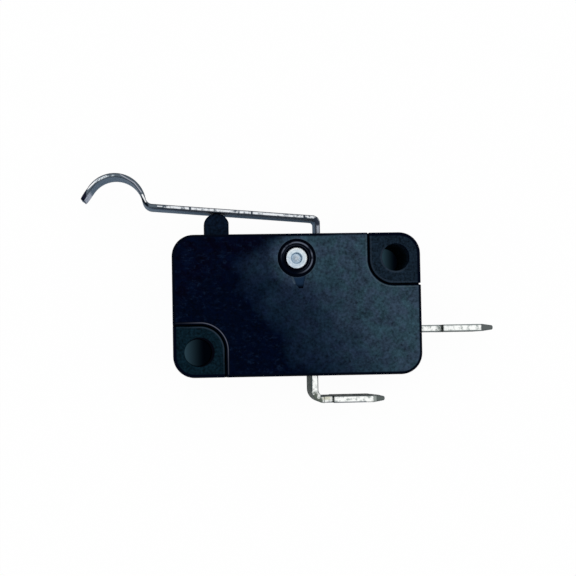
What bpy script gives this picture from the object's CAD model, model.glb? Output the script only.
import bpy
from mathutils import Matrix, Vector

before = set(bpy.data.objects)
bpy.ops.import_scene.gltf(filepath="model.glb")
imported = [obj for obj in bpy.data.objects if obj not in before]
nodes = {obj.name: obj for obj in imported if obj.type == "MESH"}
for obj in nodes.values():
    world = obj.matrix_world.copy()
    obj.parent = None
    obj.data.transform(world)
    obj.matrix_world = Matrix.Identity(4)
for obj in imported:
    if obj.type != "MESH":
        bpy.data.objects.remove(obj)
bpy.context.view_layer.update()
mm = 0.001
bpy.ops.object.select_all(action="DESELECT")

# Directions, white and the kinds of socket that the node trees share
xAxis = (1, 0, 0)
yAxis = (0, 1, 0)
zAxis = (0, 0, 1)
flatten = (1, 1, 0)                    # drops the height
white = (1, 1, 1, 1)
floatSocket = "NodeSocketFloat"
vectorSocket = "NodeSocketVector"


# Small helpers for node trees
def paint(red, green, blue):
    # sRGB channels from 0 to 255, turned into linear light
    channels = []
    for amount in (red, green, blue):
        share = amount / 255
        channels.append(share / 12.92 if share <= 0.04045 else ((share + 0.055) / 1.055) ** 2.4)
    return (*channels, 1.0)


def addNode(tree, kind, values=None, **settings):
    node = tree.nodes.new(kind)
    for name, setting in settings.items():
        setattr(node, name, setting)
    for socket, amount in (values or {}).items():
        node.inputs[socket].default_value = amount
    return node


def feed(tree, node, items):
    # an output is linked, any other value is set, and None leaves the socket alone
    for socket, item in items.items():
        if isinstance(item, bpy.types.NodeSocket):
            tree.links.new(item, node.inputs[socket])
        elif item is not None:
            node.inputs[socket].default_value = item


def maths(tree, operation, first, second=0.0, third=None, clamp=False):
    node = addNode(tree, "ShaderNodeMath", operation=operation, use_clamp=clamp)
    feed(tree, node, {0: first, 1: second, 2: third})
    return node.outputs[0]


def times(tree, first, second):
    return maths(tree, "MULTIPLY", first, second)


def scaled(tree, value, factor, shift):
    return maths(tree, "MULTIPLY_ADD", value, factor, shift)


def aboutMiddle(tree, noise, reach):
    # noise from 0 to 1 as a swing about zero
    return times(tree, maths(tree, "SUBTRACT", noise, 0.5), reach)


def vectorMaths(tree, operation, first, second=None):
    node = addNode(tree, "ShaderNodeVectorMath", operation=operation)
    feed(tree, node, {0: first, 1: second})
    return node.outputs["Value" if operation in ("DOT_PRODUCT", "LENGTH") else "Vector"]


def dotWith(tree, place, direction):
    return vectorMaths(tree, "DOT_PRODUCT", place, direction)


def softStep(tree, value, low, high):
    node = addNode(tree, "ShaderNodeMapRange", {1: low, 2: high, 3: 0.0, 4: 1.0},
                   interpolation_type="SMOOTHSTEP")
    tree.links.new(value, node.inputs[0])
    return node.outputs[0]


def stepAlong(tree, place, direction, low, high):
    return softStep(tree, dotWith(tree, place, direction), low, high)


def band(tree, value, low, high, soft):
    inner = softStep(tree, value, low - soft, low + soft)
    return times(tree, inner, softStep(tree, value, high + soft, high - soft))


def noiseAt(tree, place, scale, detail=3.0, rough=0.55):
    node = addNode(tree, "ShaderNodeTexNoise", {"Scale": scale, "Detail": detail, "Roughness": rough})
    tree.links.new(place, node.inputs["Vector"])
    return node.outputs["Fac"]


def mixColour(tree, factor, first, second, blend="MIX"):
    node = addNode(tree, "ShaderNodeMix", data_type="RGBA", blend_type=blend)
    feed(tree, node, {0: factor, 6: first, 7: second})
    return node.outputs[2]


def ramp(tree, value, stops):
    node = tree.nodes.new("ShaderNodeValToRGB")
    elements = node.color_ramp.elements
    elements[0].position, elements[0].color = stops[0]
    elements[1].position, elements[1].color = stops[-1]
    for position, colour in stops[1:-1]:
        elements.new(position).color = colour
    tree.links.new(value, node.inputs[0])
    return node.outputs[0]


def stretched(tree, place, scale):
    node = addNode(tree, "ShaderNodeMapping", {"Scale": scale})
    tree.links.new(place, node.inputs["Vector"])
    return node.outputs[0]


def raised(tree, shader, height, distance):
    node = addNode(tree, "ShaderNodeBump", {"Strength": 1.0, "Distance": distance})
    tree.links.new(height, node.inputs["Height"])
    tree.links.new(node.outputs[0], shader.inputs["Normal"])


def seenBy(tree, kinds):
    # one for these kinds of ray, zero for the others
    path = addNode(tree, "ShaderNodeLightPath")
    seen = path.outputs[kinds[0]]
    for kind in kinds[1:]:
        seen = maths(tree, "MAXIMUM", seen, path.outputs[kind])
    return seen


def newFinish(name):
    # places in a finish are in millimetres, along the part's own axes
    finish = bpy.data.materials.new(name)
    finish.use_nodes = True
    tree = finish.node_tree
    shader = tree.nodes["Principled BSDF"]
    place = addNode(tree, "ShaderNodeTexCoord").outputs["Object"]
    return finish, tree, shader, stretched(tree, place, (1 / mm, 1 / mm, 1 / mm))


def newGroup(name, inputs, outputs):
    group = bpy.data.node_groups.new(name, "ShaderNodeTree")
    for socket, kind, amount in inputs:
        item = group.interface.new_socket(name=socket, in_out="INPUT", socket_type=kind)
        if amount is not None:
            item.default_value = amount
    for socket, kind in outputs:
        group.interface.new_socket(name=socket, in_out="OUTPUT", socket_type=kind)
    return group, group.nodes.new("NodeGroupInput"), group.nodes.new("NodeGroupOutput")


def placeGroup(tree, group, values, place=None):
    node = addNode(tree, "ShaderNodeGroup", node_tree=group)
    feed(tree, node, {**values, "Place": place})
    return node


# Shared effects
print("shared effects")
mouldedSkin, inside, outside = newGroup(
    "mouldedSkin",
    [("Place", vectorSocket, None), ("Cloud Size", floatSocket, 3.0), ("Grain Size", floatSocket, 0.12)],
    [("Cloud", floatSocket), ("Grain", floatSocket), ("Height", floatSocket)])
cloudInHeight = 0.5
cloudScale = maths(mouldedSkin, "DIVIDE", 1.0, inside.outputs["Cloud Size"])
grainScale = maths(mouldedSkin, "DIVIDE", 1.0, inside.outputs["Grain Size"])
cloud = addNode(mouldedSkin, "ShaderNodeTexNoise", {"Detail": 6.0, "Roughness": 0.6, "Distortion": 0.6})
feed(mouldedSkin, cloud, {"Vector": inside.outputs["Place"], "Scale": cloudScale})
grain = addNode(mouldedSkin, "ShaderNodeTexNoise", {"Detail": 3.0, "Roughness": 0.65})
feed(mouldedSkin, grain, {"Vector": inside.outputs["Place"], "Scale": grainScale})
height = scaled(mouldedSkin, cloud.outputs["Fac"], cloudInHeight, grain.outputs["Fac"])
feed(mouldedSkin, outside, {"Cloud": cloud.outputs["Fac"], "Grain": grain.outputs["Fac"], "Height": height})

# edges of a solid, found by rounding its normals
brokenEdge, inside, outside = newGroup(
    "brokenEdge",
    [("Radius", floatSocket, 0.0001)],
    [("Edge", floatSocket)])
edgeTurn = (0.01, 0.12)                # one minus the cosine of the normal's turn
rounded = addNode(brokenEdge, "ShaderNodeBevel", samples=6)
brokenEdge.links.new(inside.outputs["Radius"], rounded.inputs["Radius"])
trueNormal = addNode(brokenEdge, "ShaderNodeNewGeometry").outputs["True Normal"]
turn = maths(brokenEdge, "SUBTRACT", 1.0, dotWith(brokenEdge, rounded.outputs[0], trueNormal))
brokenEdge.links.new(softStep(brokenEdge, turn, *edgeTurn), outside.inputs["Edge"])

fromAxis, inside, outside = newGroup(
    "fromAxis",
    [("Place", vectorSocket, None), ("Axis At", vectorSocket, None)],
    [("Distance", floatSocket)])
offset = vectorMaths(fromAxis, "SUBTRACT", inside.outputs["Place"], inside.outputs["Axis At"])
level = vectorMaths(fromAxis, "MULTIPLY", offset, flatten)
fromAxis.links.new(vectorMaths(fromAxis, "LENGTH", level), outside.inputs["Distance"])

# distance from a round-cornered outline, negative inside it
fromOutline, inside, outside = newGroup(
    "fromOutline",
    [("Place", vectorSocket, None), ("Centre", vectorSocket, None), ("Core", vectorSocket, None),
     ("Round", floatSocket, 1.0)],
    [("Distance", floatSocket)])
offset = vectorMaths(fromOutline, "SUBTRACT", inside.outputs["Place"], inside.outputs["Centre"])
level = vectorMaths(fromOutline, "MULTIPLY", vectorMaths(fromOutline, "ABSOLUTE", offset), flatten)
beyond = vectorMaths(fromOutline, "SUBTRACT", level, inside.outputs["Core"])
corner = vectorMaths(fromOutline, "LENGTH", vectorMaths(fromOutline, "MAXIMUM", beyond, (0, 0, 0)))
sides = fromOutline.nodes.new("ShaderNodeSeparateXYZ")
fromOutline.links.new(beyond, sides.inputs[0])
within = maths(fromOutline, "MINIMUM", maths(fromOutline, "MAXIMUM", sides.outputs[0], sides.outputs[1]), 0.0)
reach = maths(fromOutline, "SUBTRACT", maths(fromOutline, "ADD", corner, within), inside.outputs["Round"])
fromOutline.links.new(reach, outside.inputs["Distance"])

# distance from a straight streak
fromStreak, inside, outside = newGroup(
    "fromStreak",
    [("Place", vectorSocket, None), ("From", vectorSocket, None), ("To", vectorSocket, None)],
    [("Distance", floatSocket)])
along = vectorMaths(fromStreak, "SUBTRACT", inside.outputs["To"], inside.outputs["From"])
offset = vectorMaths(fromStreak, "SUBTRACT", inside.outputs["Place"], inside.outputs["From"])
offset = vectorMaths(fromStreak, "MULTIPLY", offset, flatten)
share = maths(fromStreak, "DIVIDE", dotWith(fromStreak, offset, along), dotWith(fromStreak, along, along),
              clamp=True)
foot = addNode(fromStreak, "ShaderNodeVectorMath", operation="SCALE")
feed(fromStreak, foot, {0: along, "Scale": share})
aside = vectorMaths(fromStreak, "SUBTRACT", offset, foot.outputs[0])
fromStreak.links.new(vectorMaths(fromStreak, "LENGTH", aside), outside.inputs["Distance"])

# sheet metal: sheared where it faces along Z, rolled elsewhere
shearedStrip, inside, outside = newGroup(
    "shearedStrip",
    [("Place", vectorSocket, None), ("Fleck Size", floatSocket, 0.3), ("Fleck From", floatSocket, 0.5)],
    [("Sheared", floatSocket), ("Fleck", floatSocket), ("Rolled", floatSocket)])
shearedFrom = (0.8, 0.97)
fleckSoft = 0.08
rolledGrain = (0.6, 0.6, 9.0)          # drawn out along the strip's width
normal = addNode(shearedStrip, "ShaderNodeNewGeometry").outputs["Normal"]
upright = maths(shearedStrip, "ABSOLUTE", dotWith(shearedStrip, normal, zAxis))
shearedStrip.links.new(softStep(shearedStrip, upright, *shearedFrom), outside.inputs["Sheared"])
fleckScale = maths(shearedStrip, "DIVIDE", 1.0, inside.outputs["Fleck Size"])
fleck = addNode(shearedStrip, "ShaderNodeTexNoise", {"Detail": 4.0, "Roughness": 0.7})
feed(shearedStrip, fleck, {"Vector": inside.outputs["Place"], "Scale": fleckScale})
spotsFrom = maths(shearedStrip, "SUBTRACT", inside.outputs["Fleck From"], fleckSoft)
spots = maths(shearedStrip, "SUBTRACT", fleck.outputs["Fac"], spotsFrom)
spots = maths(shearedStrip, "DIVIDE", spots, 2 * fleckSoft, clamp=True)
shearedStrip.links.new(spots, outside.inputs["Fleck"])
rolled = stretched(shearedStrip, inside.outputs["Place"], rolledGrain)
rolled = noiseAt(shearedStrip, rolled, 1.0, detail=4.0, rough=0.6)
shearedStrip.links.new(rolled, outside.inputs["Rolled"])


# Places on the case, in millimetres
caseLook = {
    "outline": {"Centre": (0, 0, 0), "Core": (11.5, 5.55, 0), "Round": 2.4},
    "upperBoss": {"Centre": (13.2, 7.25, 0), "Core": (2.3, 2.3, 0), "Round": 2.7},
    "lowerBoss": {"Centre": (-13.2, -7.25, 0), "Core": (2.3, 2.3, 0), "Round": 2.7},
    "upperHole": (11.1, 5.15, 0.0),
    "lowerHole": (-11.1, -5.15, 0.0),
    "lowerShade": (-10.93, -5.09, 0.0),   # a little to the right of the lower hole
    "rivetAt": (0.0, 5.2, 0.0),
}
streakLook = {
    "core": 0.4,                       # share of a streak's half width that is full
    "breaks": (0.38, 0.52),
}


def outlineDistance(tree, place, outline):
    return placeGroup(tree, fromOutline, caseLook[outline], place).outputs["Distance"]


def axisDistance(tree, place, axis):
    return placeGroup(tree, fromAxis, {"Axis At": caseLook[axis]}, place).outputs["Distance"]


def streak(tree, place, start, end, wide, breakUp=0.0):
    line = placeGroup(tree, fromStreak, {"From": (*start, 0), "To": (*end, 0)}, place).outputs["Distance"]
    share = softStep(tree, line, wide, wide * streakLook["core"])
    if breakUp:
        share = times(tree, share, softStep(tree, noiseAt(tree, place, breakUp), *streakLook["breaks"]))
    return share


# Mouldings
# In these dictionaries a pair is where a soft step starts and ends, or a factor and what is added.
def mouldedAt(tree, place, look):
    sizes = {"Cloud Size": look["cloudSize"], "Grain Size": look["grainSize"]}
    return placeGroup(tree, mouldedSkin, sizes, place)


def mottled(tree, colour, skin, look):
    clouds = scaled(tree, skin.outputs["Cloud"], *look["clouds"])
    clouds = maths(tree, "ADD", clouds, aboutMiddle(tree, skin.outputs["Grain"], look["grain"]))
    return mixColour(tree, 1.0, colour, clouds, "MULTIPLY")


def closeMoulding(tree, shader, skin, colour, look):
    tree.links.new(colour, shader.inputs["Base Color"])
    roughness = scaled(tree, skin.outputs["Grain"], look["grainRoughness"], look["roughness"])
    tree.links.new(roughness, shader.inputs["Roughness"])
    shader.inputs["Specular IOR Level"].default_value = look["specular"]
    raised(tree, shader, skin.outputs["Height"], look["depth"])


def hazedCover(tree, place, skin, look):
    # dark on the lower left, paler to the right, with a wandering border
    wander = aboutMiddle(tree, noiseAt(tree, place, look["wanderScale"], detail=5.0), look["wanderReach"])
    across = maths(tree, "ADD", dotWith(tree, place, look["hazeAlong"]), wander)
    across = maths(tree, "ADD", across, look["hazeBefore"])
    haze = ramp(tree, maths(tree, "DIVIDE", across, look["hazeReach"], clamp=True), look["stops"])
    slope = times(tree, wander, look["darkWander"])
    slope = maths(tree, "ADD", dotWith(tree, place, look["darkAlong"]), slope)
    clouds = softStep(tree, skin.outputs["Cloud"], *look["shadeClouds"])
    darkSide = mixColour(tree, clouds, look["shade"], look["shadeBlue"])
    haze = mixColour(tree, softStep(tree, slope, *look["darkBorder"]), darkSide, haze)
    bloom = softStep(tree, axisDistance(tree, place, "rivetAt"), *look["bloomReach"])
    haze = mixColour(tree, times(tree, bloom, look["bloomShare"]), haze, look["bloom"])
    haze = mottled(tree, haze, skin, look)
    drift = softStep(tree, noiseAt(tree, place, look["driftScale"], detail=4.0), *look["driftSteps"])
    drift = mixColour(tree, drift, look["warm"], look["cool"])
    haze = mixColour(tree, 1.0, haze, drift, "MULTIPLY")
    specks = noiseAt(tree, stretched(tree, place, look["speckStretch"]), 1.0, detail=5.0, rough=0.8)
    specks = softStep(tree, specks, *look["speckSteps"])
    thicker = noiseAt(tree, place, look["thickerScale"], detail=2.0)
    thicker = softStep(tree, thicker, *look["thickerSteps"])
    specks = times(tree, specks, scaled(tree, thicker, *look["thickerShare"]))
    return mixColour(tree, specks, haze, look["speck"], "LIGHTEN")


def ringedRivet(tree, place, haze, look):
    # worn rings on the raised lip round the rivet, lost on its lower left
    gap = axisDistance(tree, place, "rivetAt")
    facing = vectorMaths(tree, "SUBTRACT", place, caseLook["rivetAt"])
    facing = stepAlong(tree, facing, look["litFrom"], *look["litSteps"])
    worn = softStep(tree, noiseAt(tree, place, look["wornScale"]), *look["wornSteps"])
    lip = times(tree, times(tree, band(tree, gap, *look["lipRing"]), worn), facing)
    inner = times(tree, band(tree, gap, *look["innerRing"]), facing)
    onLip = times(tree, softStep(tree, gap, *look["lipFrom"]), softStep(tree, gap, *look["lipTo"]))
    halo = times(tree, band(tree, gap, *look["haloRing"]), worn)
    haze = mixColour(tree, onLip, haze, look["rim"])
    haze = mixColour(tree, inner, haze, look["innerLip"])
    haze = mixColour(tree, lip, haze, look["lip"])
    return mixColour(tree, times(tree, halo, look["haloShare"]), haze, look["pale"])


def edgedCover(tree, place, haze, look):
    # edges along the case outline and the two corner bosses
    alongX = dotWith(tree, place, xAxis)
    alongY = dotWith(tree, place, yAxis)
    caseEdge = outlineDistance(tree, place, "outline")
    # the dark outline fades along the right half of the top edge
    fade = times(tree, softStep(tree, alongX, *look["fadeX"]), softStep(tree, alongY, *look["fadeY"]))
    dark = times(tree, softStep(tree, caseEdge, *look["outlineDark"]), scaled(tree, fade, *look["fadeShare"]))
    haze = mixColour(tree, dark, haze, look["rim"])
    inland = softStep(tree, caseEdge, *look["inland"])
    upperGap = outlineDistance(tree, place, "upperBoss")
    haze = mixColour(tree, softStep(tree, upperGap, *look["upperDark"]), haze, look["rim"])
    pale = times(tree, band(tree, upperGap, *look["paleLine"]), look["paleShare"])
    haze = mixColour(tree, times(tree, pale, inland), haze, look["pale"])
    lowerGap = outlineDistance(tree, place, "lowerBoss")
    haze = mixColour(tree, softStep(tree, lowerGap, *look["lowerDark"]), haze, look["rim"])
    arc = scaled(tree, softStep(tree, alongY, *look["glintY"]), *look["glintShareY"])
    arc = times(tree, softStep(tree, alongX, *look["glintX"]), arc)
    glint = times(tree, band(tree, lowerGap, *look["glintLine"]), scaled(tree, arc, *look["glintShare"]))
    return mixColour(tree, times(tree, glint, inland), haze, look["glint"])


def coverMoulding(look):
    finish, tree, shader, place = newFinish("coverPlastic")
    skin = mouldedAt(tree, place, look)
    haze = hazedCover(tree, place, skin, look)
    level = dotWith(tree, place, zAxis)
    haze = mixColour(tree, softStep(tree, level, *look["faceLevel"]), look["rim"], haze)
    gate = softStep(tree, level, *look["gateLevel"])
    gate = times(tree, gate, stepAlong(tree, place, yAxis, *look["gateFrom"]))
    haze = mixColour(tree, gate, haze, look["gate"])
    haze = mixColour(tree, streak(tree, place, *look["gateLine"]), haze, look["gateStreak"])
    haze = mixColour(tree, softStep(tree, level, *look["sideLevel"]), haze, look["side"])
    sunk = softStep(tree, axisDistance(tree, place, "rivetAt"), *look["sunkReach"])
    sunk = times(tree, sunk, softStep(tree, level, *look["sunkLevel"]))
    haze = mixColour(tree, sunk, haze, look["rim"])
    haze = ringedRivet(tree, place, haze, look)
    haze = edgedCover(tree, place, haze, look)
    closeMoulding(tree, shader, skin, haze, look)
    return finish


print("cover moulding")
coverPlastic = coverMoulding({
    "cloudSize": 1.5,
    "grainSize": 0.3,
    # dark side with bluer clouds, and its border towards the haze
    "shade": paint(2, 2, 15),
    "shadeBlue": paint(1, 6, 23),
    "shadeClouds": (0.36, 0.64),
    "darkAlong": (0.53, -0.85, 0),
    "darkWander": 0.6,
    "darkBorder": (-8.4, -6.4),
    # haze
    "hazeAlong": (0.828, 0.561, 0),
    "hazeBefore": 4.6,
    "hazeReach": 15.0,
    "wanderScale": 0.42,
    "wanderReach": 5.0,
    "stops": ((0.0, paint(0, 4, 19)), (0.12, paint(9, 21, 36)), (0.38, paint(21, 34, 49)),
              (0.66, paint(37, 54, 66)), (1.0, paint(42, 59, 71))),
    "bloom": paint(43, 60, 74),            # paler round the rivet
    "bloomReach": (3.6, 2.2),
    "bloomShare": 0.6,
    # clouds and grain, slow drift of hue, fine specks
    "clouds": (1.9, 0.28),
    "grain": 3.0,
    "warm": (1.08, 0.96, 1.05, 1.0),
    "cool": (0.93, 1.05, 1.0, 1.0),
    "driftScale": 0.6,
    "driftSteps": (0.4, 0.6),
    "speck": paint(16, 29, 52),
    "speckStretch": (1.6, 2.8, 1.0),
    "speckSteps": (0.5, 0.72),
    "thickerScale": 0.5,
    "thickerSteps": (0.38, 0.62),
    "thickerShare": (0.8, 0.35),
    # levels from the seating face, and the gate mark below the rivet
    "rim": paint(1, 5, 17),                # rounded outer edge, recess and groove
    "faceLevel": (10.25, 10.297),
    "gate": paint(26, 46, 70),
    "gateLevel": (10.2, 10.13),
    "gateFrom": (1.9, 2.4),
    "gateStreak": paint(62, 78, 94),
    "gateLine": ((-0.66, 3.30), (-0.30, 2.42), 0.17),
    "side": paint(6, 15, 25),
    "sideLevel": (10.04, 9.96),
    "sunkLevel": (10.28, 10.2),
    "sunkReach": (2.2, 2.1),
    # rings round the rivet: from, to and softness
    "lip": paint(96, 104, 120),
    "lipRing": (1.66, 1.8, 0.05),
    "lipFrom": (1.3, 1.4),
    "lipTo": (1.98, 1.88),
    "innerLip": paint(58, 66, 82),
    "innerRing": (1.46, 1.52, 0.05),
    "haloRing": (2.14, 2.24, 0.05),
    "haloShare": 0.2,
    "litFrom": (0.62, 0.78, 0),
    "litSteps": (-1.5, 0.2),
    "wornScale": 1.3,
    "wornSteps": (0.3, 0.55),
    # lines along the outline and beside the bosses
    "outlineDark": (-0.38, -0.26),
    "fadeX": (3.0, 5.0),
    "fadeY": (7.0, 7.4),
    "fadeShare": (-0.7, 1.0),
    "inland": (-0.2, -0.45),
    "upperDark": (0.34, 0.29),
    "pale": paint(84, 98, 108),            # edge beside the upper boss
    "paleLine": (0.36, 0.46, 0.03),
    "paleShare": 0.38,
    "lowerDark": (0.62, 0.5),
    "glint": paint(94, 98, 114),           # edge round the lower boss
    "glintLine": (0.36, 0.44, 0.035),
    "glintX": (-13.2, -9.6),
    "glintY": (-6.8, -3.6),
    "glintShareY": (0.7, 0.3),
    "glintShare": (0.9, 0.1),
    "roughness": 0.5,
    "grainRoughness": 0.18,
    "specular": 0.012,
    "depth": 0.000012,
})


def baseMoulding(look):
    finish, tree, shader, place = newFinish("basePlastic")
    skin = mouldedAt(tree, place, look)
    alongX = dotWith(tree, place, xAxis)
    colour = mixColour(tree, softStep(tree, alongX, *look["sides"]), look["lowSide"], look["highSide"])
    colour = mottled(tree, colour, skin, look)
    # worn edges of the two bosses
    upperEdge = band(tree, outlineDistance(tree, place, "upperBoss"), *look["upperEdge"])
    upperEdge = times(tree, upperEdge, look["upperShare"])
    lowerArc = maths(tree, "ADD", alongX, dotWith(tree, place, yAxis))
    lowerArc = scaled(tree, softStep(tree, lowerArc, *look["lowerArc"]), *look["lowerShare"])
    lowerEdge = band(tree, outlineDistance(tree, place, "lowerBoss"), *look["lowerEdge"])
    lowerEdge = times(tree, lowerEdge, lowerArc)
    colour = mixColour(tree, maths(tree, "MAXIMUM", upperEdge, lowerEdge), colour, look["edge"])
    # lit edge of the upper hole, shade beside the lower one
    lit = vectorMaths(tree, "SUBTRACT", place, caseLook["upperHole"])
    lit = stepAlong(tree, lit, look["holeLit"], *look["holeLitSteps"])
    holeEdge = times(tree, band(tree, axisDistance(tree, place, "upperHole"), *look["holeRing"]), lit)
    colour = mixColour(tree, times(tree, holeEdge, look["holeShare"]), colour, look["edge"])
    shade = softStep(tree, axisDistance(tree, place, "lowerShade"), *look["holeShadeReach"])
    colour = mixColour(tree, shade, colour, look["holeShade"])
    outer = softStep(tree, outlineDistance(tree, place, "outline"), *look["outlineDark"])
    colour = mixColour(tree, outer, colour, look["rim"])
    # dark on every face near the front that doesn't face the front
    normal = addNode(tree, "ShaderNodeNewGeometry").outputs["Normal"]
    turned = maths(tree, "SUBTRACT", 1.0, stepAlong(tree, normal, zAxis, *look["frontFaces"]))
    sunk = times(tree, stepAlong(tree, place, zAxis, *look["sunkLevel"]), turned)
    colour = mixColour(tree, sunk, colour, look["sunk"])
    closeMoulding(tree, shader, skin, colour, look)
    return finish


print("base moulding")
basePlastic = baseMoulding({
    "cloudSize": 1.4,
    "grainSize": 0.26,
    "lowSide": paint(8, 26, 36),
    "highSide": paint(20, 32, 44),
    "sides": (-12.0, 12.0),
    "clouds": (0.9, 0.55),
    "grain": 3.6,
    "edge": paint(44, 55, 68),             # worn edges of the bosses and the upper hole
    "upperEdge": (-0.2, -0.06, 0.04),
    "upperShare": 0.5,
    "lowerEdge": (-0.17, -0.04, 0.04),
    "lowerArc": (-15.5, -12.4),
    "lowerShare": (0.65, 0.2),
    "holeRing": (1.56, 1.74, 0.05),
    "holeShare": 0.6,
    "holeLit": (-0.7, -0.7, 0),
    "holeLitSteps": (-0.6, 0.9),
    "holeShade": paint(2, 3, 10),
    "holeShadeReach": (1.68, 1.60),
    "rim": paint(0, 3, 17),                # outer edge
    "outlineDark": (-0.46, -0.32),
    "sunk": paint(2, 7, 22),
    "sunkLevel": (8.6, 10.1),
    "frontFaces": (0.7, 0.998),
    "roughness": 0.52,
    "grainRoughness": 0.16,
    "specular": 0.014,
    "depth": 0.00001,
})


def plungerMoulding(look):
    finish, tree, shader, place = newFinish("plungerPlastic")
    skin = mouldedAt(tree, place, look)
    rubbed = times(tree, stepAlong(tree, place, yAxis, *look["rubbedFrom"]), skin.outputs["Cloud"])
    colour = mixColour(tree, rubbed, look["body"], look["rubbed"])
    mottle = scaled(tree, noiseAt(tree, place, look["mottleScale"], detail=4.0), *look["mottle"])
    colour = mixColour(tree, 1.0, colour, mottle, "MULTIPLY")
    closeMoulding(tree, shader, skin, colour, look)
    return finish


print("plunger moulding")
plungerPlastic = plungerMoulding({
    "cloudSize": 0.9,
    "grainSize": 0.1,
    "body": paint(10, 22, 38),
    "rubbed": paint(30, 40, 52),           # where the lever rubs the crown
    "rubbedFrom": (10.2, 10.6),
    "mottleScale": 3.2,
    "mottle": (3.6, -0.75),
    "roughness": 0.44,
    "grainRoughness": 0.2,
    "specular": 0.02,
    "depth": 0.000008,
})


# Metals
def rimmed(tree, colour, look):
    edge = placeGroup(tree, brokenEdge, {"Radius": look["rimRadius"]}).outputs["Edge"]
    return mixColour(tree, times(tree, edge, look["rimShare"]), colour, look["rim"])


def patchOf(tree, place, normal, patch):
    # patch of a strip: past a place along X, below a height, facing one way, beyond a place along Z
    soft = 0.1
    frontSoft = 0.4
    share = stepAlong(tree, place, xAxis, *patch["past"])
    if "below" in patch:
        share = times(tree, share, stepAlong(tree, place, yAxis, patch["below"] + soft, patch["below"]))
    if "facing" in patch:
        share = times(tree, share, stepAlong(tree, normal, patch["facing"], *patch["turned"]))
    if "front" in patch:
        front = patch["front"]
        share = times(tree, share, stepAlong(tree, place, zAxis, front, front + frontSoft))
    return share


def stripMetal(name, look):
    finish, tree, shader, place = newFinish(name)
    flecks = {"Fleck Size": look["fleckSize"], "Fleck From": look["fleckFrom"]}
    strip = placeGroup(tree, shearedStrip, flecks, place)
    if "dullBeyond" in look:
        # the flecks thin out beyond a place along the strip
        dull = 0.0
        for direction, start, end in look["dullBeyond"]:
            dull = maths(tree, "MAXIMUM", stepAlong(tree, place, direction, start, end), dull)
        fewer = scaled(tree, dull, look["dullFrom"] - look["fleckFrom"], look["fleckFrom"])
        tree.links.new(fewer, strip.inputs["Fleck From"])
    sheared = mixColour(tree, strip.outputs["Fleck"], look["torn"], look["burnished"])
    for start, end, wide, shade, breakUp in look.get("streaks", ()):
        sheared = mixColour(tree, streak(tree, place, start, end, wide, breakUp), sheared, shade)
    rolled = mixColour(tree, strip.outputs["Rolled"], look["rolledDark"], look["rolledLight"])
    if "deep" in look:
        # the rolled faces of the straight part darken towards the cover side
        deep = stepAlong(tree, place, zAxis, *look["deepFrom"])
        deep = times(tree, deep, stepAlong(tree, place, xAxis, *look["deepBeyond"]))
        rolled = mixColour(tree, deep, rolled, look["deep"])
    colour = mixColour(tree, strip.outputs["Sheared"], rolled, sheared)
    normal = addNode(tree, "ShaderNodeNewGeometry").outputs["Normal"]
    for patch in look.get("patches", ()):
        colour = mixColour(tree, patchOf(tree, place, normal, patch), colour, patch["shade"])
    tree.links.new(rimmed(tree, colour, look), shader.inputs["Base Color"])
    flecks = times(tree, strip.outputs["Fleck"], strip.outputs["Sheared"])
    polish = -0.12                     # the burnished flecks are smoother
    tree.links.new(scaled(tree, flecks, polish, look["roughness"]), shader.inputs["Roughness"])
    shader.inputs["Metallic"].default_value = 1.0
    shader.inputs["Specular Tint"].default_value = look["edgeTint"]
    raised(tree, shader, maths(tree, "ADD", flecks, strip.outputs["Rolled"]), look["depth"])
    return finish


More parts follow.
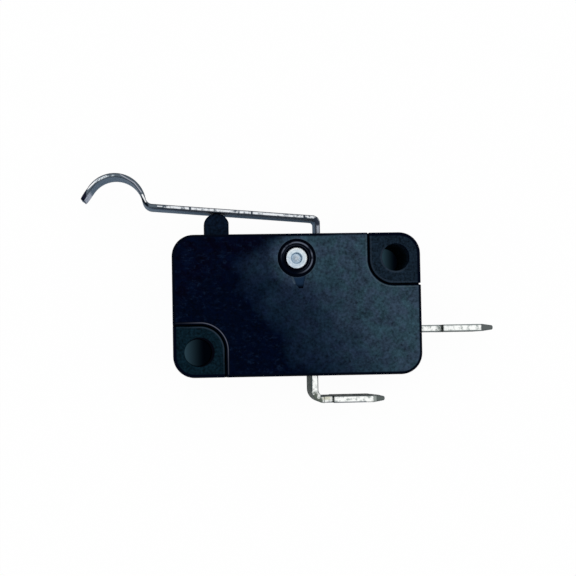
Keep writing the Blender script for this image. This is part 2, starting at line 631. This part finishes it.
# a streak is its start, its end, its half width, its shade, and the scale of the noise that breaks it up
print("lever steel")
bright = paint(250, 252, 254)
leverSteel = stripMetal("leverSteel", {
    "torn": paint(90, 101, 111),
    "burnished": paint(240, 244, 248),
    "rolledDark": paint(120, 130, 142),
    "rolledLight": paint(166, 175, 185),
    "edgeTint": (0.11, 0.16, 0.22, 1.0),   # keeps the low-angle shine down
    "deep": paint(52, 62, 76),
    "deepFrom": (5.6, 7.2),                # from the seating face
    "deepBeyond": (-16.6, -15.6),
    "rim": paint(36, 44, 55),
    "rimRadius": 0.00034,
    "rimShare": 0.97,
    "fleckSize": 0.42,
    "fleckFrom": 0.43,                     # the higher, the fewer burnished flecks
    "dullBeyond": ((xAxis, -14.2, -15.0), (yAxis, 9.7, 9.2)),
    "dullFrom": 0.8,
    "patches": (
        # inside of the hook's tip, its dark outer end, under the bend
        {"past": (-22.85, -23.10), "below": 13.3, "facing": xAxis, "turned": (0.2, 0.5),
         "shade": paint(226, 228, 238)},
        {"past": (-23.28, -23.42), "below": 13.4, "facing": (0, -0.7, 0.7), "turned": (0.45, 0.55),
         "front": 6.4, "shade": paint(26, 26, 42)},
        {"past": (0.2, 1.7), "facing": (0, -1, 0), "turned": (0.5, 0.8), "front": 5.0,
         "shade": paint(20, 28, 40)},
    ),
    "streaks": (
        ((-23.20, 13.45), (-22.35, 14.28), 0.12, bright, 0.0),               # bright outer side of the hook
        ((-22.35, 14.28), (-21.10, 14.86), 0.18, paint(222, 230, 236), 5.5),
        ((-20.90, 14.80), (-20.30, 14.95), 0.14, paint(184, 194, 202), 2.6),
        ((-19.58, 15.06), (-17.98, 14.07), 0.06, paint(172, 174, 186), 0.0), # line down its other flank
        ((-17.98, 14.07), (-17.21, 13.02), 0.06, paint(172, 174, 186), 0.0),
        ((-17.28, 12.40), (-16.55, 11.50), 0.21, paint(8, 14, 22), 0.0),     # neck
        ((-17.10, 12.70), (-16.72, 11.95), 0.12, bright, 0.0),
        ((-15.40, 11.40), (-14.92, 11.37), 0.09, paint(216, 220, 224), 0.0), # start of the bright band
        ((2.65, 9.1), (2.65, 7.6), 0.26, paint(154, 161, 172), 0.0),         # leg
        ((-15.40, 11.16), (2.40, 9.67), 0.16, paint(40, 50, 60), 0.0),       # lower edge of the bright band
        ((-15.40, 11.64), (2.40, 10.15), 0.11, paint(90, 98, 106), 0.0),     # its upper edge
        ((-11.80, 11.40), (-11.75, 10.90), 0.18, paint(70, 80, 90), 0.0),    # breaks in it
        ((-4.82, 10.85), (-4.82, 10.35), 0.16, paint(58, 66, 76), 0.0),
        ((1.12, 10.35), (1.11, 9.75), 0.16, paint(58, 66, 76), 0.0),
        ((2.45, 9.75), (2.62, 9.2), 0.30, paint(44, 50, 62), 0.0),           # outside of the bend
    ),
    "roughness": 0.4,
    "depth": 0.00001,
})

print("terminal plating")
terminalPlate = stripMetal("terminalPlate", {
    "torn": paint(150, 160, 156),
    "burnished": paint(253, 255, 253),
    "rolledDark": paint(118, 126, 124),
    "rolledLight": paint(170, 177, 173),
    "edgeTint": (0.04, 0.05, 0.05, 1.0),
    "rim": paint(66, 74, 76),
    "rimRadius": 0.0003,
    "rimShare": 0.97,
    "fleckSize": 0.46,
    "fleckFrom": 0.43,
    "streaks": (
        ((1.50, -9.95), (2.36, -10.80), 0.70, paint(92, 100, 92), 2.2),      # the bend of the common terminal
        ((3.00, -10.50), (3.52, -10.50), 0.34, paint(214, 215, 198), 0.0),
        ((1.53, -7.90), (1.53, -9.60), 0.15, paint(44, 54, 56), 0.0),        # edges of its stem
        ((2.30, -7.90), (2.30, -9.80), 0.12, paint(120, 127, 128), 0.0),
        ((2.60, -10.27), (9.00, -10.27), 0.16, paint(58, 66, 68), 0.0),      # edges of its tab
        ((3.40, -11.06), (7.60, -11.06), 0.16, paint(108, 115, 128), 0.0),
        ((13.95, -2.47), (20.90, -2.47), 0.18, paint(166, 176, 175), 0.0),   # edges of the end terminal
        ((13.95, -3.27), (20.90, -3.27), 0.18, paint(134, 143, 143), 0.0),
    ),
    "patches": (
        # tips of the end terminal and of the common terminal
        {"past": (20.88, 21.0), "shade": paint(98, 103, 103)},
        {"past": (8.81, 8.93), "below": -9.0, "shade": paint(94, 101, 99)},
    ),
    "roughness": 0.36,
    "depth": 0.00001,
})

print("inner metals")
innerStrip = {
    "rimRadius": 0.00006,
    "rimShare": 0.6,
    "fleckSize": 0.3,
    "fleckFrom": 0.45,
    "depth": 0.000006,
}
frameBrass = stripMetal("frameBrass", {
    **innerStrip,
    "edgeTint": (0.70, 0.56, 0.34, 1.0),
    "torn": paint(150, 128, 84),
    "burnished": paint(214, 190, 132),
    "rolledDark": paint(160, 136, 84),
    "rolledLight": paint(196, 172, 114),
    "rim": paint(120, 100, 62),
    "roughness": 0.36,
})
armCopper = stripMetal("armCopper", {
    **innerStrip,
    "edgeTint": (0.70, 0.46, 0.34, 1.0),
    "torn": paint(150, 100, 76),
    "burnished": paint(216, 164, 130),
    "rolledDark": paint(170, 112, 82),
    "rolledLight": paint(200, 142, 108),
    "rim": paint(124, 82, 60),
    "roughness": 0.32,
})
driveSteel = stripMetal("driveSteel", {
    **innerStrip,
    "edgeTint": (0.45, 0.47, 0.50, 1.0),
    "torn": paint(110, 114, 118),
    "burnished": paint(190, 194, 198),
    "rolledDark": paint(122, 126, 130),
    "rolledLight": paint(160, 164, 168),
    "rim": paint(80, 84, 90),
    "roughness": 0.36,
})


def turnedMetal(name, look):
    finish, tree, shader, place = newFinish(name)
    skin = mouldedAt(tree, place, look)
    polished = (0.3, 0.7)
    grainRoughness = 0.2
    share = softStep(tree, skin.outputs["Cloud"], *polished)
    colour = mixColour(tree, share, look["dull"], look["bright"])
    if "rings" in look:
        # turned rings, paler towards the upper right
        gap = axisDistance(tree, place, "rivetAt")
        rings = ramp(tree, maths(tree, "DIVIDE", gap, look["ringsReach"]), look["rings"])
        lit = vectorMaths(tree, "SUBTRACT", place, caseLook["rivetAt"])
        lit = stepAlong(tree, lit, look["litFrom"], *look["litSteps"])
        colour = mixColour(tree, 1.0, colour, mixColour(tree, lit, look["unlit"], white), "MULTIPLY")
        colour = mixColour(tree, 1.0, rings, colour, "MULTIPLY")
    tree.links.new(rimmed(tree, colour, look), shader.inputs["Base Color"])
    roughness = scaled(tree, skin.outputs["Grain"], grainRoughness, look["roughness"])
    tree.links.new(roughness, shader.inputs["Roughness"])
    shader.inputs["Metallic"].default_value = 1.0
    raised(tree, shader, skin.outputs["Height"], look["depth"])
    return finish


print("rivet, contacts and spring")
rivetNickel = turnedMetal("rivetNickel", {
    "dull": paint(212, 221, 226),
    "bright": paint(253, 254, 255),
    "rings": ((0.0, white), (0.20, white), (0.36, paint(228, 243, 255)), (0.46, paint(170, 193, 210)),
              (0.51, paint(174, 194, 208)), (0.58, paint(236, 244, 248)), (0.66, paint(214, 226, 234)),
              (0.80, paint(248, 253, 255)), (1.0, paint(246, 251, 254))),
    "ringsReach": 1.25,
    "unlit": paint(224, 230, 240),
    "litFrom": (0.5, 0.86, 0),
    "litSteps": (-1.6, 0.9),
    "rim": paint(120, 130, 140),
    "rimRadius": 0.00005,
    "rimShare": 0.35,
    "cloudSize": 0.5,
    "grainSize": 0.1,
    "roughness": 0.26,
    "depth": 0.00001,
})
contactSilver = turnedMetal("contactSilver", {
    "dull": paint(186, 188, 188),
    "bright": paint(228, 230, 230),
    "rim": paint(150, 152, 152),
    "rimRadius": 0.00005,
    "rimShare": 0.4,
    "cloudSize": 0.6,
    "grainSize": 0.08,
    "roughness": 0.28,
    "depth": 0.000005,
})
springSteel = turnedMetal("springSteel", {
    "dull": paint(112, 114, 118),
    "bright": paint(168, 170, 174),
    "rim": paint(90, 92, 96),
    "rimRadius": 0.00003,
    "rimShare": 0.4,
    "cloudSize": 0.5,
    "grainSize": 0.06,
    "roughness": 0.3,
    "depth": 0.000003,
})


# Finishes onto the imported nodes
print("finishes onto the nodes")
finishOf = {
    "base": basePlastic,
    "cover": coverPlastic,
    "cover_rivet": rivetNickel,
    "plunger": plungerPlastic,
    "lever": leverSteel,
    "common_terminal": terminalPlate,
    "open_terminal": terminalPlate,
    "pivot_frame": frameBrass,
    "contact_arm": armCopper,
    "moving_contact": contactSilver,
    "fixed_contact": contactSilver,
    "rest_stop": frameBrass,
    "drive_lever": driveSteel,
    "snap_spring": springSteel,
}
for name, finish in finishOf.items():
    nodes[name].data.materials.clear()
    nodes[name].data.materials.append(finish)


# Paper, light and camera
def mixShaders(tree, factor, first, second):
    blend = addNode(tree, "ShaderNodeMixShader")
    feed(tree, blend, {0: factor, 1: first.outputs[0], 2: second.outputs[0]})
    return blend


print("paper")
paperLook = {
    "size": 1.4,                           # metres
    "level": -0.0001,                      # just below the seating face
    "glow": 0.965,                         # share of the white that ignores the shadow
    # paper seen through a hole: its axis, lit end and dark end along X, and the shade at the lit end
    "holes": (("upperHole", -0.2, 1.4, paint(38, 59, 69)),
              ("lowerHole", -1.6, 0.8, paint(42, 64, 75))),
    "holeDark": paint(1, 3, 8),
    "holeFade": 1.8,
    "holeReach": (1.9, 2.0),
}
bpy.ops.mesh.primitive_plane_add(size=paperLook["size"], location=(0, 0, paperLook["level"]))
paper = bpy.context.object
paper.name = "paper"
paperWhite, tree, shader, place = newFinish("paperWhite")
tree.nodes.remove(shader)
colour = white
for hole, litEnd, darkEnd, litShade in paperLook["holes"]:
    across = maths(tree, "SUBTRACT", dotWith(tree, place, xAxis), caseLook[hole][0])
    share = maths(tree, "DIVIDE", maths(tree, "SUBTRACT", across, darkEnd), litEnd - darkEnd, clamp=True)
    share = maths(tree, "POWER", share, paperLook["holeFade"])
    seen = mixColour(tree, share, paperLook["holeDark"], litShade)
    outOfHole = softStep(tree, axisDistance(tree, place, hole), *paperLook["holeReach"])
    colour = mixColour(tree, outOfHole, seen, colour)
diffuse = addNode(tree, "ShaderNodeBsdfDiffuse")
glow = addNode(tree, "ShaderNodeEmission", {"Strength": 1.0})
tree.links.new(colour, diffuse.inputs["Color"])
tree.links.new(colour, glow.inputs["Color"])
share = times(tree, seenBy(tree, ("Is Camera Ray", "Is Glossy Ray")), paperLook["glow"])
lit = mixShaders(tree, share, diffuse, glow)
# clear from below, so that the back of the switch can be seen
backfacing = addNode(tree, "ShaderNodeNewGeometry").outputs["Backfacing"]
oneSided = mixShaders(tree, backfacing, lit, addNode(tree, "ShaderNodeBsdfTransparent"))
tree.links.new(oneSided.outputs[0], tree.nodes["Material Output"].inputs["Surface"])
paper.data.materials.append(paperWhite)

print("light")
lightLook = {
    # places and sizes in metres, power in watts
    "world": 0.62,                         # on the object; the background itself shows at 1
    "key": {"place": (0.12, 0.14, 0.60), "size": 0.60, "power": 1.1},
    "fill": {"place": (-0.35, -0.25, 0.50), "size": 0.60, "power": 0.5},
}
world = bpy.data.worlds.new("studio")
bpy.context.scene.world = world
world.use_nodes = True
tree = world.node_tree
backdrop = tree.nodes["Background"]
backdrop.inputs["Color"].default_value = white
seen = seenBy(tree, ("Is Camera Ray", "Is Glossy Ray", "Is Transmission Ray"))
strength = scaled(tree, seen, 1.0 - lightLook["world"], lightLook["world"])
tree.links.new(strength, backdrop.inputs["Strength"])


def addSoftbox(name, look):
    data = bpy.data.lights.new(name, "AREA")
    data.shape = "SQUARE"
    data.size = look["size"]
    data.energy = look["power"]
    lamp = bpy.data.objects.new(name, data)
    bpy.context.scene.collection.objects.link(lamp)
    lamp.location = look["place"]
    lamp.visible_camera = False
    lamp.visible_glossy = False
    lamp.rotation_euler = (-Vector(look["place"])).to_track_quat("-Z", "Y").to_euler()


addSoftbox("keyLamp", lightLook["key"])
addSoftbox("fillLamp", lightLook["fill"])

print("camera")
cameraLook = {
    "stand": Vector((-12.42, -4.85, 177.3)),   # millimetres
    "aim": Vector((-1.05, 1.86, 10.3)),
    "across": Vector((0.99988, -0.01536, 0)),  # picture's right-hand direction, turned 0.88 degrees
    "lens": 94.2,                          # this and the sensor's width in real millimetres
    "sensor": 36.0,
    "nearest": 0.005,                      # metres
    "farthest": 10.0,
}
lensData = bpy.data.cameras.new("camera")
lensData.lens = cameraLook["lens"]
lensData.sensor_width = cameraLook["sensor"]
lensData.clip_start = cameraLook["nearest"]
lensData.clip_end = cameraLook["farthest"]
camera = bpy.data.objects.new("camera", lensData)
bpy.context.scene.collection.objects.link(camera)
ahead = (cameraLook["aim"] - cameraLook["stand"]).normalized()
across = (cameraLook["across"] - ahead * cameraLook["across"].dot(ahead)).normalized()
upward = across.cross(ahead)
turned = Matrix((across, upward, -ahead)).transposed().to_4x4()
camera.matrix_world = Matrix.Translation(cameraLook["stand"] * mm) @ turned
bpy.context.scene.camera = camera
bpy.context.scene.view_settings.view_transform = "Standard"

print("done")
